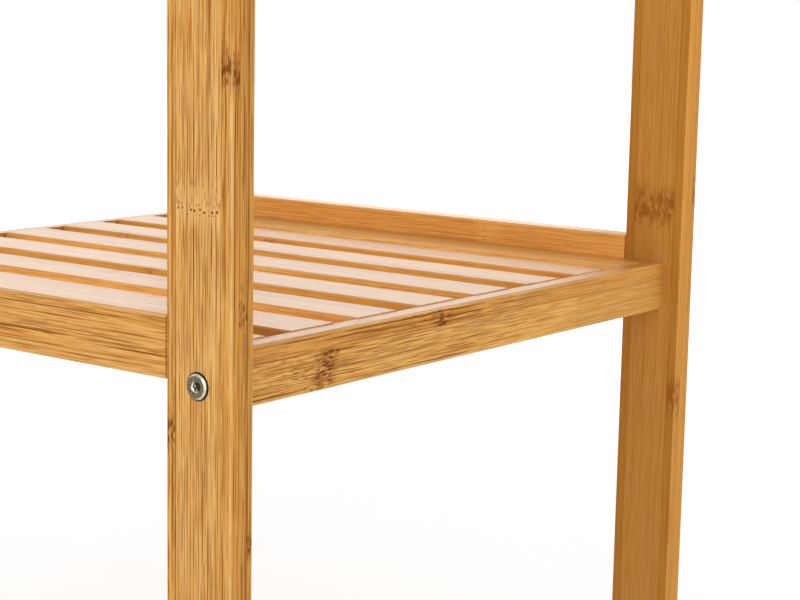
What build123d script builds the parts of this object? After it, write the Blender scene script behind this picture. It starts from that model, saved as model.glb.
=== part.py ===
"""Free-standing bamboo towel rack: two glued end frames, a bolted slatted shelf and three towel bars.

Millimetres. X runs along the shelf side rails, Y along the slats, Z up.
The origin is on the floor, at the middle of the four legs.
"""
import os

from build123d import *

# Overall sizes
LENGTH = 400.0  # outside of one end frame to outside of the other, along X
DEPTH = 400.0  # outside of the front legs to outside of the rear legs, along Y
HEIGHT = 850.0  # floor to the top of the legs
SHELF_TOP = 269.5  # floor to the top of the slats

# Legs
LEG_WIDTH = 38.0  # along Y
LEG_THICKNESS = 15.0  # along X
LEG_ARRIS = 2.0  # rounding of the four long edges
LEG_END_ROUND = 1.0  # rounding of the end faces

# End rails, dowelled between the two legs of a frame and as thick as the legs
END_RAIL_ARRIS = 1.5
SHELF_END_RAIL_HEIGHT = 28.5
SHELF_END_RAIL_PROUD = 13.5  # how far its top stands above the slats
TOP_END_RAIL_HEIGHT = 38.0
TOP_END_RAIL_DROP = 10.0  # top of the legs down to the top of this rail

# Shelf side rails, with a rebate along the inner top edge that carries the slats
SIDE_RAIL_HEIGHT = 27.0
SIDE_RAIL_WIDTH = 18.0
SIDE_RAIL_LIP = 9.5  # width left standing outside the rebate
SIDE_RAIL_SET_IN = 11.5  # outside face of the leg to the outside face of the rail
SIDE_RAIL_ARRIS = 1.0

# Slats
SLAT_COUNT = 8
SLAT_WIDTH = 31.2
SLAT_THICKNESS = 9.0
SLAT_ARRIS = 0.8
SLAT_END_ROUND = 0.6  # rounding of the end faces
SLAT_PROUD = 0.5  # how far the slats stand above the lips of the side rails
SLAT_END_GAP = 0.3  # each end of a slat to the lip, and the outer slats to the end frames

# Towel bars
BAR_DIAMETER = 20.0
BAR_SPACING = 115.0
BAR_NAMES = ("front", "middle", "rear")

# Connector bolts, shared by the shelf and the bars
BOLT_DIAMETER = 6.0
BOLT_HEAD_DIAMETER = 12.0
BOLT_HEAD_FACE_DIAMETER = 9.6
BOLT_HEAD_HEIGHT = 3.2
BOLT_HEAD_BEVEL_HEIGHT = 1.1
BOLT_HEAD_PROUD = 1.4  # how far the head stands out of the wood
BOLT_SOCKET_ACROSS_FLATS = 4.0
BOLT_SOCKET_DEPTH = 2.2
BOLT_SOCKET_LEAD_IN = 0.6
BOLT_TIP_CHAMFER = 0.8
SHELF_BOLT_DROP = 15.5  # top of the slats down to the bolt
SHELF_BOLT_REACH = 42.0  # length of bolt inside the side rail
BAR_BOLT_REACH = 12.0  # length of bolt inside the bar

# Barrel nuts in the side rails
BARREL_DIAMETER = 9.5
BARREL_LENGTH = 10.0
BARREL_FROM_END = 30.0  # end of the side rail to the nut
BARREL_SLOT_WIDTH = 1.2
BARREL_SLOT_DEPTH = 1.0
BARREL_CHAMFER = 0.5

# Threaded inserts in the ends of the towel bars
INSERT_DIAMETER = 9.0
INSERT_LENGTH = 13.0
INSERT_FLANGE_DIAMETER = 11.0
INSERT_FLANGE_THICKNESS = 1.2

# Dowels in the end frames
DOWEL_DIAMETER = 6.0
DOWEL_LENGTH = 30.0
DOWEL_IN_LEG = 12.0
DOWEL_SPACING = 14.0
DOWEL_CHAMFER = 0.8

# Screws that hold the slats from below
SCREW_DIAMETER = 3.0
SCREW_BITE = 6.0  # how far a screw reaches into its slat
SCREW_TIP_LENGTH = 3.0
SCREW_HEAD_DIAMETER = 6.0
SCREW_HEAD_HEIGHT = 1.6
SCREW_RECESS_WIDTH = 0.8
SCREW_RECESS_LENGTH = 3.0
SCREW_RECESS_DEPTH = 0.9
SCREW_FROM_INNER_FACE = 4.0  # inner face of the side rail to the screw

# Foot glides
FOOT_DIAMETER = 13.0
FOOT_HEIGHT = 4.0
FOOT_ROUND = 1.0
FOOT_STEM_DIAMETER = 5.0
FOOT_STEM_LENGTH = 12.0

# Clearances
HOLE_CLEARANCE = 0.1  # radial room round a glued, pressed or threaded piece
BOLT_CLEARANCE = 0.3  # radial room round a bolt shank in the wood
HEAD_CLEARANCE = 0.4  # radial room round a bolt head in its seat
HOLE_EXTRA_DEPTH = 1.0  # blind holes are this much deeper than what they hold
CUT_PAST = 1.0  # cutters run this far past an open face

# Places worked out from the sizes above
INNER_LENGTH = LENGTH - 2 * LEG_THICKNESS
INNER_DEPTH = DEPTH - 2 * LEG_WIDTH
LEG_CENTRE_X = LENGTH / 2 - LEG_THICKNESS / 2
LEG_CENTRE_Y = DEPTH / 2 - LEG_WIDTH / 2
SHELF_END_RAIL_TOP = SHELF_TOP + SHELF_END_RAIL_PROUD
TOP_END_RAIL_TOP = HEIGHT - TOP_END_RAIL_DROP
BAR_HEIGHT = TOP_END_RAIL_TOP - TOP_END_RAIL_HEIGHT / 2
RAIL_OUTER_Y = DEPTH / 2 - SIDE_RAIL_SET_IN
RAIL_INNER_Y = RAIL_OUTER_Y - SIDE_RAIL_WIDTH
LIP_INNER_Y = RAIL_OUTER_Y - SIDE_RAIL_LIP
RAIL_TOP = SHELF_TOP - SLAT_PROUD
RAIL_BOTTOM = RAIL_TOP - SIDE_RAIL_HEIGHT
SLAT_BOTTOM = SHELF_TOP - SLAT_THICKNESS
SLAT_HALF_LENGTH = LIP_INNER_Y - SLAT_END_GAP
FIRST_SLAT_X = -(INNER_LENGTH - SLAT_WIDTH) / 2 + SLAT_END_GAP
SLAT_PITCH = -2 * FIRST_SLAT_X / (SLAT_COUNT - 1)
SLAT_PLACES = [FIRST_SLAT_X + index * SLAT_PITCH for index in range(SLAT_COUNT)]
BAR_PLACES = {name: (index - 1) * BAR_SPACING for index, name in enumerate(BAR_NAMES)}
SHELF_BOLT_Z = SHELF_TOP - SHELF_BOLT_DROP
HEAD_SEAT_DEPTH = BOLT_HEAD_HEIGHT - BOLT_HEAD_PROUD  # outer face of the wood to the underside of a head
BARREL_X = INNER_LENGTH / 2 - BARREL_FROM_END
SCREW_Y = RAIL_INNER_Y + SCREW_FROM_INNER_FACE
SCREW_TOP = SLAT_BOTTOM + SCREW_BITE

SIDES = {"left": -1, "right": 1}  # sign of X
ROWS = {"front": -1, "rear": 1}  # sign of Y
TURN_TO = {"x": Rot(0, 90, 0), "y": Rot(90, 0, 0), "z": Rot(0, 0, 0)}


def block(x_span, y_span, z_span):
    """A box between the given pairs of coordinates, in either order."""
    spans = [sorted(span) for span in (x_span, y_span, z_span)]
    middle = [(low + high) / 2 for low, high in spans]
    size = [high - low for low, high in spans]
    return Pos(*middle) * Box(*size)


def rod(axis, radius, start, end, across):
    """A round bar along one axis from start to end. across gives its other two coordinates in order."""
    middle = list(across)
    middle.insert("xyz".index(axis), (start + end) / 2)
    return Pos(*middle) * TURN_TO[axis] * Cylinder(radius, abs(end - start))


def eased(board, axis, radius):
    """The same board with its long edges rounded."""
    return fillet(board.edges().filter_by(axis), radius)


def bolt_hole(side, across, reach):
    """Cutter for a bolt that enters from the outside of an end frame: shank hole and seat for the head."""
    outer = side * LENGTH / 2
    seat = outer - side * HEAD_SEAT_DEPTH
    tip = side * (INNER_LENGTH / 2 - reach - HOLE_EXTRA_DEPTH)
    shank = rod("x", BOLT_DIAMETER / 2 + BOLT_CLEARANCE, outer, tip, across)
    head = rod("x", BOLT_HEAD_DIAMETER / 2 + HEAD_CLEARANCE, outer + side * CUT_PAST, seat, across)
    return shank + head


def bolt(side, across, reach):
    """Connector bolt with a low bevelled head and a hexagon socket, tightened from outside an end frame."""
    shank_length = LEG_THICKNESS - HEAD_SEAT_DEPTH + reach
    rim_height = BOLT_HEAD_HEIGHT - BOLT_HEAD_BEVEL_HEIGHT
    face_x = -BOLT_HEAD_HEIGHT
    shank = rod("x", BOLT_DIAMETER / 2, 0, shank_length, (0, 0))
    shank = chamfer(shank.edges().sort_by(Axis.X)[-1], BOLT_TIP_CHAMFER)
    rim = rod("x", BOLT_HEAD_DIAMETER / 2, -rim_height, 0, (0, 0))
    bevel_middle = face_x + BOLT_HEAD_BEVEL_HEIGHT / 2
    bevel = Cone(BOLT_HEAD_DIAMETER / 2, BOLT_HEAD_FACE_DIAMETER / 2, BOLT_HEAD_BEVEL_HEIGHT)
    head = rim + Pos(bevel_middle, 0, 0) * Rot(0, -90, 0) * bevel
    corner_radius = BOLT_SOCKET_ACROSS_FLATS / 3**0.5
    flat_outline = Plane.YZ.offset(face_x) * RegularPolygon(corner_radius, 6)
    socket = extrude(flat_outline, BOLT_SOCKET_DEPTH)
    mouth_radius = corner_radius + BOLT_SOCKET_LEAD_IN
    lead_in_middle = face_x + mouth_radius / 2
    lead_in = Pos(lead_in_middle, 0, 0) * Rot(0, 90, 0) * Cone(mouth_radius, 0, mouth_radius)
    whole = shank + head - socket - lead_in
    seat_x = side * (LENGTH / 2 - HEAD_SEAT_DEPTH)
    facing = 0 if side < 0 else 180
    return Pos(seat_x, *across) * Rot(0, 0, facing) * whole


def frame_joints():
    """Every joint of an end frame: sign of Y and height of the middle of the rail."""
    shelf_middle = SHELF_END_RAIL_TOP - SHELF_END_RAIL_HEIGHT / 2
    return [(row, middle) for row in ROWS.values() for middle in (shelf_middle, BAR_HEIGHT)]


def joint_rods(side, radius, into_leg, into_rail):
    """Round bars across every joint of one end frame, two to a joint."""
    rods = []
    for row, middle in frame_joints():
        face = row * INNER_DEPTH / 2
        start = face - row * into_rail
        end = face + row * into_leg
        for offset in (-DOWEL_SPACING / 2, DOWEL_SPACING / 2):
            rods.append(rod("y", radius, start, end, (side * LEG_CENTRE_X, middle + offset)))
    return rods


def dowel_holes(side):
    """Cutters for the dowel holes of one end frame."""
    into_leg = DOWEL_IN_LEG + HOLE_EXTRA_DEPTH
    into_rail = DOWEL_LENGTH - DOWEL_IN_LEG + HOLE_EXTRA_DEPTH
    return joint_rods(side, DOWEL_DIAMETER / 2 + HOLE_CLEARANCE, into_leg, into_rail)


def dowels(side):
    """Wooden dowels of one end frame, with their ends chamfered."""
    pegs = joint_rods(side, DOWEL_DIAMETER / 2, DOWEL_IN_LEG, DOWEL_LENGTH - DOWEL_IN_LEG)
    return [chamfer(peg.edges().filter_by(GeomType.CIRCLE), DOWEL_CHAMFER) for peg in pegs]


def leg(side, row):
    """One leg, with the holes for its bolt, dowels and foot glide."""
    x_span = (side * LENGTH / 2, side * INNER_LENGTH / 2)
    y_span = (row * DEPTH / 2, row * INNER_DEPTH / 2)
    board = eased(block(x_span, y_span, (FOOT_HEIGHT, HEIGHT)), Axis.Z, LEG_ARRIS)
    ends = board.faces().sort_by(Axis.Z)
    board = fillet(ends[0].edges() + ends[-1].edges(), LEG_END_ROUND)
    stem_radius = FOOT_STEM_DIAMETER / 2 + HOLE_CLEARANCE
    stem_top = FOOT_HEIGHT + FOOT_STEM_LENGTH + HOLE_EXTRA_DEPTH
    stem_hole = rod("z", stem_radius, 0, stem_top, (side * LEG_CENTRE_X, row * LEG_CENTRE_Y))
    holes = [stem_hole, bolt_hole(side, (row * LEG_CENTRE_Y, SHELF_BOLT_Z), SHELF_BOLT_REACH)]
    return board - holes - dowel_holes(side)


def end_rail(side, top, height):
    """A rail between the two legs of one end frame."""
    x_span = (side * LENGTH / 2, side * INNER_LENGTH / 2)
    y_span = (-INNER_DEPTH / 2, INNER_DEPTH / 2)
    board = eased(block(x_span, y_span, (top - height, top)), Axis.Y, END_RAIL_ARRIS)
    return board - dowel_holes(side)


def top_end_rail(side):
    """Upper rail of an end frame, drilled for the bolts of the towel bars."""
    board = end_rail(side, TOP_END_RAIL_TOP, TOP_END_RAIL_HEIGHT)
    return board - [bolt_hole(side, (y, BAR_HEIGHT), BAR_BOLT_REACH) for y in BAR_PLACES.values()]


def screw_holes(row):
    """Countersunk clearance holes and pilot holes for the slat screws of one side rail."""
    radius = SCREW_DIAMETER / 2 + HOLE_CLEARANCE
    mouth_radius = SCREW_HEAD_DIAMETER / 2 + HOLE_CLEARANCE
    tip = SCREW_TOP + HOLE_EXTRA_DEPTH
    holes = []
    for x in SLAT_PLACES:
        place = (x, row * SCREW_Y)
        sink_middle = RAIL_BOTTOM + SCREW_HEAD_HEIGHT / 2
        sink = Pos(*place, sink_middle) * Cone(mouth_radius, radius, SCREW_HEAD_HEIGHT)
        holes.append(rod("z", radius, RAIL_BOTTOM, tip, place) + sink)
    return holes


def side_rail(row):
    """Shelf rail along X with its rebate, bolt holes, barrel nut holes and screw holes."""
    x_span = (-INNER_LENGTH / 2, INNER_LENGTH / 2)
    y_span = (row * RAIL_OUTER_Y, row * RAIL_INNER_Y)
    board = eased(block(x_span, y_span, (RAIL_BOTTOM, RAIL_TOP)), Axis.X, SIDE_RAIL_ARRIS)
    inside_y = row * (RAIL_INNER_Y - CUT_PAST)
    holes = [block(x_span, (row * LIP_INNER_Y, inside_y), (SLAT_BOTTOM, RAIL_TOP + CUT_PAST))]
    nut_radius = BARREL_DIAMETER / 2 + HOLE_CLEARANCE
    nut_end = LEG_CENTRE_Y + BARREL_LENGTH / 2 + HOLE_EXTRA_DEPTH
    for side in SIDES.values():
        holes.append(bolt_hole(side, (row * LEG_CENTRE_Y, SHELF_BOLT_Z), SHELF_BOLT_REACH))
        across = (side * BARREL_X, SHELF_BOLT_Z)
        holes.append(rod("y", nut_radius, inside_y, row * nut_end, across))
    return board - holes - screw_holes(row)


def slat(x):
    """One shelf slat along Y, with pilot holes in its underside."""
    x_span = (x - SLAT_WIDTH / 2, x + SLAT_WIDTH / 2)
    board = block(x_span, (-SLAT_HALF_LENGTH, SLAT_HALF_LENGTH), (SLAT_BOTTOM, SHELF_TOP))
    board = eased(board, Axis.Y, SLAT_ARRIS)
    ends = board.faces().sort_by(Axis.Y)
    board = fillet(ends[0].edges() + ends[-1].edges(), SLAT_END_ROUND)
    radius = SCREW_DIAMETER / 2 + HOLE_CLEARANCE
    tip = SCREW_TOP + HOLE_EXTRA_DEPTH
    return board - [rod("z", radius, RAIL_BOTTOM, tip, (x, row * SCREW_Y)) for row in ROWS.values()]


def towel_bar(y):
    """Round bar along X, bored at both ends for a threaded insert and the tip of its bolt."""
    across = (y, BAR_HEIGHT)
    bar = rod("x", BAR_DIAMETER / 2, -INNER_LENGTH / 2, INNER_LENGTH / 2, across)
    holes = []
    for side in SIDES.values():
        face = side * INNER_LENGTH / 2
        flange_end = face - side * INSERT_FLANGE_THICKNESS
        sleeve_end = face - side * (INSERT_LENGTH + HOLE_EXTRA_DEPTH)
        holes.append(rod("x", INSERT_FLANGE_DIAMETER / 2 + HOLE_CLEARANCE, face, flange_end, across))
        holes.append(rod("x", INSERT_DIAMETER / 2 + HOLE_CLEARANCE, face, sleeve_end, across))
    return bar - holes


def threaded_insert(side, y):
    """Flanged sleeve in the end of a towel bar."""
    across = (y, BAR_HEIGHT)
    face = side * INNER_LENGTH / 2
    sleeve_end = face - side * INSERT_LENGTH
    flange_end = face - side * INSERT_FLANGE_THICKNESS
    sleeve = rod("x", INSERT_DIAMETER / 2, face, sleeve_end, across)
    flange = rod("x", INSERT_FLANGE_DIAMETER / 2, face, flange_end, across)
    return sleeve + flange - rod("x", BOLT_DIAMETER / 2 + HOLE_CLEARANCE, face, sleeve_end, across)


def barrel_nut(side, row):
    """Cross dowel nut in a side rail, slotted on the end that faces into the rack."""
    inner_y = row * (LEG_CENTRE_Y - BARREL_LENGTH / 2)
    outer_y = row * (LEG_CENTRE_Y + BARREL_LENGTH / 2)
    x = side * BARREL_X
    body = rod("y", BARREL_DIAMETER / 2, inner_y, outer_y, (x, SHELF_BOLT_Z))
    body = chamfer(body.edges().filter_by(GeomType.CIRCLE), BARREL_CHAMFER)
    thread = rod("x", BOLT_DIAMETER / 2 + HOLE_CLEARANCE, x - BARREL_DIAMETER, x + BARREL_DIAMETER,
                 (row * LEG_CENTRE_Y, SHELF_BOLT_Z))
    slot_z = (SHELF_BOLT_Z - BARREL_SLOT_WIDTH / 2, SHELF_BOLT_Z + BARREL_SLOT_WIDTH / 2)
    slot_y = (inner_y, inner_y + row * BARREL_SLOT_DEPTH)
    return body - thread - block((x - BARREL_DIAMETER, x + BARREL_DIAMETER), slot_y, slot_z)


def slat_screw(x, row):
    """Countersunk cross-recess screw, driven up through a side rail into a slat."""
    radius = SCREW_DIAMETER / 2
    place = (x, row * SCREW_Y)
    head_middle = RAIL_BOTTOM + SCREW_HEAD_HEIGHT / 2
    tip_base = SCREW_TOP - SCREW_TIP_LENGTH
    head = Pos(*place, head_middle) * Cone(SCREW_HEAD_DIAMETER / 2, radius, SCREW_HEAD_HEIGHT)
    shank = rod("z", radius, RAIL_BOTTOM, tip_base, place)
    tip = Pos(*place, tip_base + SCREW_TIP_LENGTH / 2) * Cone(radius, 0, SCREW_TIP_LENGTH)
    recess_z = (RAIL_BOTTOM, RAIL_BOTTOM + SCREW_RECESS_DEPTH)
    long_half = SCREW_RECESS_LENGTH / 2
    short_half = SCREW_RECESS_WIDTH / 2
    cuts = []
    for half_x, half_y in ((long_half, short_half), (short_half, long_half)):
        x_span = (place[0] - half_x, place[0] + half_x)
        y_span = (place[1] - half_y, place[1] + half_y)
        cuts.append(block(x_span, y_span, recess_z))
    return head + shank + tip - cuts


def foot_glide(side, row):
    """Round glide under a leg, with a stem pressed into the leg's end."""
    across = (side * LEG_CENTRE_X, row * LEG_CENTRE_Y)
    pad = rod("z", FOOT_DIAMETER / 2, 0, FOOT_HEIGHT, across)
    pad = fillet(pad.edges().sort_by(Axis.Z)[0], FOOT_ROUND)
    return pad + rod("z", FOOT_STEM_DIAMETER / 2, FOOT_HEIGHT, FOOT_HEIGHT + FOOT_STEM_LENGTH, across)


def all_pieces():
    """Every node of the rack: its name and its solid, or the list of its identical solids."""
    pieces = {}
    for side_name, side in SIDES.items():
        for row_name, row in ROWS.items():
            pieces[f"leg_{side_name}_{row_name}"] = leg(side, row)
        pieces[f"shelf_end_rail_{side_name}"] = end_rail(side, SHELF_END_RAIL_TOP, SHELF_END_RAIL_HEIGHT)
        pieces[f"top_end_rail_{side_name}"] = top_end_rail(side)
        pieces[f"frame_dowels_{side_name}"] = dowels(side)
    for row_name, row in ROWS.items():
        pieces[f"shelf_side_rail_{row_name}"] = side_rail(row)
    for index, x in enumerate(SLAT_PLACES, start=1):
        pieces[f"shelf_slat_{index}"] = slat(x)
    for bar_name, y in BAR_PLACES.items():
        pieces[f"towel_bar_{bar_name}"] = towel_bar(y)
    corners = [(side, row) for side in SIDES.values() for row in ROWS.values()]
    bar_ends = [(side, y) for side in SIDES.values() for y in BAR_PLACES.values()]
    shelf_bolt_places = [(side, (row * LEG_CENTRE_Y, SHELF_BOLT_Z)) for side, row in corners]
    pieces["shelf_bolts"] = [bolt(side, across, SHELF_BOLT_REACH) for side, across in shelf_bolt_places]
    pieces["barrel_nuts"] = [barrel_nut(side, row) for side, row in corners]
    pieces["bar_bolts"] = [bolt(side, (y, BAR_HEIGHT), BAR_BOLT_REACH) for side, y in bar_ends]
    pieces["bar_inserts"] = [threaded_insert(side, y) for side, y in bar_ends]
    pieces["slat_screws"] = [slat_screw(x, row) for x in SLAT_PLACES for row in ROWS.values()]
    pieces["foot_glides"] = [foot_glide(side, row) for side, row in corners]
    return pieces


os.makedirs("parts", exist_ok=True)
for node, piece in all_pieces().items():
    solid = Compound(children=piece) if isinstance(piece, list) else piece
    export_step(solid, f"parts/{node}.step")
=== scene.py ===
"""Looks of a knock-down bamboo towel rack: laminated boards, plated fasteners, nylon feet, white studio."""

import math
from types import SimpleNamespace

import bmesh
import bpy
from mathutils import Matrix, Vector


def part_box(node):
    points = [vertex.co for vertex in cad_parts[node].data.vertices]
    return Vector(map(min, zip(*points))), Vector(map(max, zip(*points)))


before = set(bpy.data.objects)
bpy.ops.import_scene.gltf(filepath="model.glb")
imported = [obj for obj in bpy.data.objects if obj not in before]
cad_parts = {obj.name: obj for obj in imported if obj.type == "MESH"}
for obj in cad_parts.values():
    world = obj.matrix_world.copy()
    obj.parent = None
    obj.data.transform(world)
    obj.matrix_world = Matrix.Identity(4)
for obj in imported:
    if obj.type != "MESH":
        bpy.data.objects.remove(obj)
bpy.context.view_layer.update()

MM = 0.001
AXES = {"X": Vector((1, 0, 0)), "Y": Vector((0, 1, 0)), "Z": Vector((0, 0, 1))}
ORIGIN = (0.0, 0.0, 0.0)


def paint(red, green, blue):
    """A colour written on the usual 0 to 255 scale, as the shader wants it."""

    def linear(level):
        share = level / 255
        if share <= 0.04045:
            return share / 12.92
        return ((share + 0.055) / 1.055) ** 2.4

    return (linear(red), linear(green), linear(blue), 1.0)


# Node tree helpers


def put(tree, kind, **settings):
    """A new shader node with its settings."""
    made = tree.nodes.new("ShaderNode" + kind)
    for name, value in settings.items():
        setattr(made, name, value)
    return made


def feed(tree, socket, value):
    """Link a socket to another one, or set it to a plain value."""
    if isinstance(value, bpy.types.NodeSocket):
        tree.links.new(value, socket)
    else:
        socket.default_value = value


def maths(tree, operation, *values):
    """The result of one Math node."""
    made = put(tree, "Math", operation=operation)
    for socket, value in zip(made.inputs, values):
        feed(tree, socket, value)
    return made.outputs[0]


def times(tree, product, *factors):
    """All the values multiplied together."""
    for factor in factors:
        product = maths(tree, "MULTIPLY", product, factor)
    return product


def rise(tree, value, low, high):
    """0 below low, 1 above high, and smooth between them; it falls instead where low is above high."""
    made = put(tree, "MapRange", interpolation_type="SMOOTHSTEP")
    feed(tree, made.inputs["Value"], value)
    feed(tree, made.inputs["From Min"], low)
    feed(tree, made.inputs["From Max"], high)
    return made.outputs["Result"]


def span(tree, value, low, high):
    """A value from 0 to 1 spread from low to high."""
    made = put(tree, "MapRange")
    feed(tree, made.inputs["Value"], value)
    feed(tree, made.inputs["To Min"], low)
    feed(tree, made.inputs["To Max"], high)
    return made.outputs["Result"]


def wrapped(tree, value, period):
    """The value brought within half a period of zero."""
    half = times(tree, period, 0.5)
    return maths(tree, "WRAP", value, half, times(tree, half, -1.0))


def between(tree, share, first, second):
    """A number between two others."""
    made = put(tree, "Mix", data_type="FLOAT")
    feed(tree, made.inputs[0], share)
    feed(tree, made.inputs[2], first)
    feed(tree, made.inputs[3], second)
    return made.outputs[0]


def blend(tree, share, first, second, way="MIX"):
    """A colour made of two others."""
    made = put(tree, "Mix", data_type="RGBA", blend_type=way)
    feed(tree, made.inputs[0], share)
    feed(tree, made.inputs[6], first)
    feed(tree, made.inputs[7], second)
    return made.outputs[2]


def shaded(tree, colour, level):
    """A colour made lighter or darker by a level, which is 1 where it stays as it is."""
    return blend(tree, 1.0, colour, joined(tree, level, level, level), "MULTIPLY")


def joined(tree, across, through, along):
    """A vector from its three parts."""
    made = put(tree, "CombineXYZ")
    for socket, value in zip(made.inputs, (across, through, along)):
        feed(tree, socket, value)
    return made.outputs[0]


def parted(tree, vector):
    """The three parts of a vector or a colour."""
    made = put(tree, "SeparateXYZ")
    feed(tree, made.inputs[0], vector)
    return made.outputs


def stretched(tree, place, cell):
    """The place counted in pattern cells of this size, in millimetres."""
    made = put(tree, "VectorMath", operation="DIVIDE")
    feed(tree, made.inputs[0], place)
    made.inputs[1].default_value = cell
    return made.outputs[0]


def cloud(tree, place, cell, detail=1.0, roughness=0.5):
    """Smooth noise, around a half."""
    made = put(tree, "TexNoise")
    feed(tree, made.inputs["Vector"], stretched(tree, place, cell))
    made.inputs["Scale"].default_value = 1.0
    made.inputs["Detail"].default_value = detail
    made.inputs["Roughness"].default_value = roughness
    return made.outputs[0]


def grains(tree, place, cell, spread):
    """One grain to each cell of a flat pattern: distance from its middle, and three numbers drawn for it."""
    made = put(tree, "TexVoronoi", voronoi_dimensions="2D")
    feed(tree, made.inputs["Vector"], stretched(tree, place, cell))
    made.inputs["Scale"].default_value = 1.0
    made.inputs["Randomness"].default_value = spread
    return made.outputs["Distance"], parted(tree, made.outputs["Color"])


def new_group(name, inputs, outputs):
    """A shader node group with named sockets: inputs are (name, kind, default), outputs (name, kind)."""
    tree = bpy.data.node_groups.new(name, "ShaderNodeTree")
    for title, kind, value in inputs:
        socket = tree.interface.new_socket(title, in_out="INPUT", socket_type="NodeSocket" + kind)
        if value is not None:
            socket.default_value = value
    for title, kind in outputs:
        tree.interface.new_socket(title, in_out="OUTPUT", socket_type="NodeSocket" + kind)
    given = tree.nodes.new("NodeGroupInput").outputs
    result = tree.nodes.new("NodeGroupOutput").inputs
    return tree, given, result


# Material helpers


def new_material(name):
    """A material with its node tree and its shader."""
    material = bpy.data.materials.new(name)
    material.use_nodes = True
    tree = material.node_tree
    return material, tree, tree.nodes["Principled BSDF"]


def cover(node, material):
    """Give a piece of the rack its finish."""
    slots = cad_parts[node].data.materials
    slots.clear()
    slots.append(material)


def raised(tree, shader, height, strength, depth):
    """Raise the surface by a height pattern; depth is in millimetres."""
    bump = put(tree, "Bump")
    bump.inputs["Strength"].default_value = strength
    bump.inputs["Distance"].default_value = depth * MM
    feed(tree, bump.inputs["Height"], height)
    feed(tree, shader.inputs["Normal"], bump.outputs["Normal"])


def turned_to(along, across):
    """Turn that lays a board's own length on one axis of the rack and its width on another."""

    def axis(word):
        return -AXES[word[1]] if word[0] == "-" else AXES[word]

    length = axis(along)
    width = axis(across)
    through = length.cross(width)
    return Matrix((width, through, length)).transposed().to_euler("XYZ")


def own_place(tree, centre, along, across):
    """Millimetres across, through and along a piece from its centre."""
    where = put(tree, "TexCoord")
    placed = put(tree, "Mapping", vector_type="TEXTURE")
    feed(tree, placed.inputs["Vector"], where.outputs["Object"])
    placed.inputs["Location"].default_value = centre
    placed.inputs["Rotation"].default_value = turned_to(along, across)
    placed.inputs["Scale"].default_value = (MM, MM, MM)
    return placed.outputs[0]


# Laminated bamboo. Sizes are in millimetres, and a cell is a pattern's grain in each direction of its place.
# A pair is where an effect starts and where it is full, or its least and its most.

PALE_FIBRE = paint(252, 197, 120)
GROUND = paint(208, 137, 42)
DARK_FIBRE = paint(130, 62, 0)
WARM_STRIP = paint(214, 136, 34)
OLIVE_STRIP = paint(210, 160, 66)
KNOT_WASH = paint(152, 82, 4)
KNOT_STROKE = paint(104, 48, 2)
DOT_BROWN = paint(66, 32, 6)
# The pale of the long edges: wear, and also a painted highlight along the arrises.
WORN_EDGE_HIGHLIGHT = paint(246, 204, 144)

PAST_ANY_END = 9000.0
BOARD_INPUTS = [
    ("Place", "Vector", None),
    ("End", "Float", 0.0),
    ("Side", "Float", 0.0),
    ("Strip Width", "Float", 26.0),
    ("Strip Shift", "Float", 13.0),
    ("Ply", "Float", 5.0),
    ("Joint Place", "Float", 0.0),
    ("Joint Spacing", "Float", 300.0),
    ("Joint Step", "Float", 70.0),
    ("Joint Skew", "Float", 0.0),
    ("Face Ply", "Float", -1.0),
    ("Ply Step", "Float", 61.0),
    ("Joint Lean", "Float", 0.0),
    ("Joint Spread", "Float", 5.0),
    ("Knot", "Float", 0.0),
    ("Wash", "Float", 0.65),
    ("Dash Reach", "Float", 16.0),
    ("Outer Share", "Float", 1.0),
    ("Half Width", "Float", 0.0),
    ("Half Thickness", "Float", 0.0),
    ("Butt Place", "Float", PAST_ANY_END),
    ("Calm From", "Float", PAST_ANY_END),
    ("Seed", "Float", 0.0),
    ("Tone", "Float", 1.0),
    ("Side Tone", "Float", 1.0),
    ("Painted Shade Tone", "Float", 1.0),
    ("Warmth", "Float", 0.0),
    ("Contrast", "Float", 1.0),
    ("Side Contrast", "Float", 1.0),
]
BOARD_OUTPUTS = [("Color", "Color"), ("Roughness", "Float"), ("Height", "Float")]

# Each step below reads the sockets it needs from wood, and leaves its own there for the steps after it.

SEED_STEP = 17.3
GLUE_LINE = (0.42, 0.08)
SIDE_JUMP = 300.0  # the narrow faces show other fibres than the wide ones


def find_strips(wood):
    """Which strip and which ply, what was drawn for them, and how near the closest glue line is."""
    tree = wood.tree
    given = wood.given
    strip_place = maths(tree, "ADD", wood.across, given["Strip Shift"])
    strip_place = maths(tree, "DIVIDE", strip_place, given["Strip Width"])
    wood.strip = maths(tree, "FLOOR", strip_place)
    wood.outer = maths(tree, "MINIMUM", maths(tree, "ABSOLUTE", wood.strip), 1.0)
    ply_place = maths(tree, "ADD", maths(tree, "DIVIDE", wood.through, given["Ply"]), 0.5)
    wood.ply = maths(tree, "FLOOR", ply_place)
    wood.seeded = times(tree, given["Seed"], SEED_STEP)
    chance = put(tree, "TexWhiteNoise", noise_dimensions="3D")
    feed(tree, chance.inputs["Vector"], joined(tree, wood.strip, wood.ply, wood.seeded))
    wood.strip_tone, wood.strip_warmth, wood.strip_start = parted(tree, chance.outputs["Color"])
    strip_edge = times(tree, maths(tree, "PINGPONG", strip_place, 0.5), given["Strip Width"])
    ply_edge = times(tree, maths(tree, "PINGPONG", ply_place, 0.5), given["Ply"])
    wood.glue_line = rise(tree, maths(tree, "MINIMUM", strip_edge, ply_edge), *GLUE_LINE)
    beside = maths(tree, "ADD", wood.through, SIDE_JUMP)
    wood.face_across = between(tree, given["Side"], wood.across, beside)


CALM_LENGTH = 110.0
CALM_CONTRAST = 0.45


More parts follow.
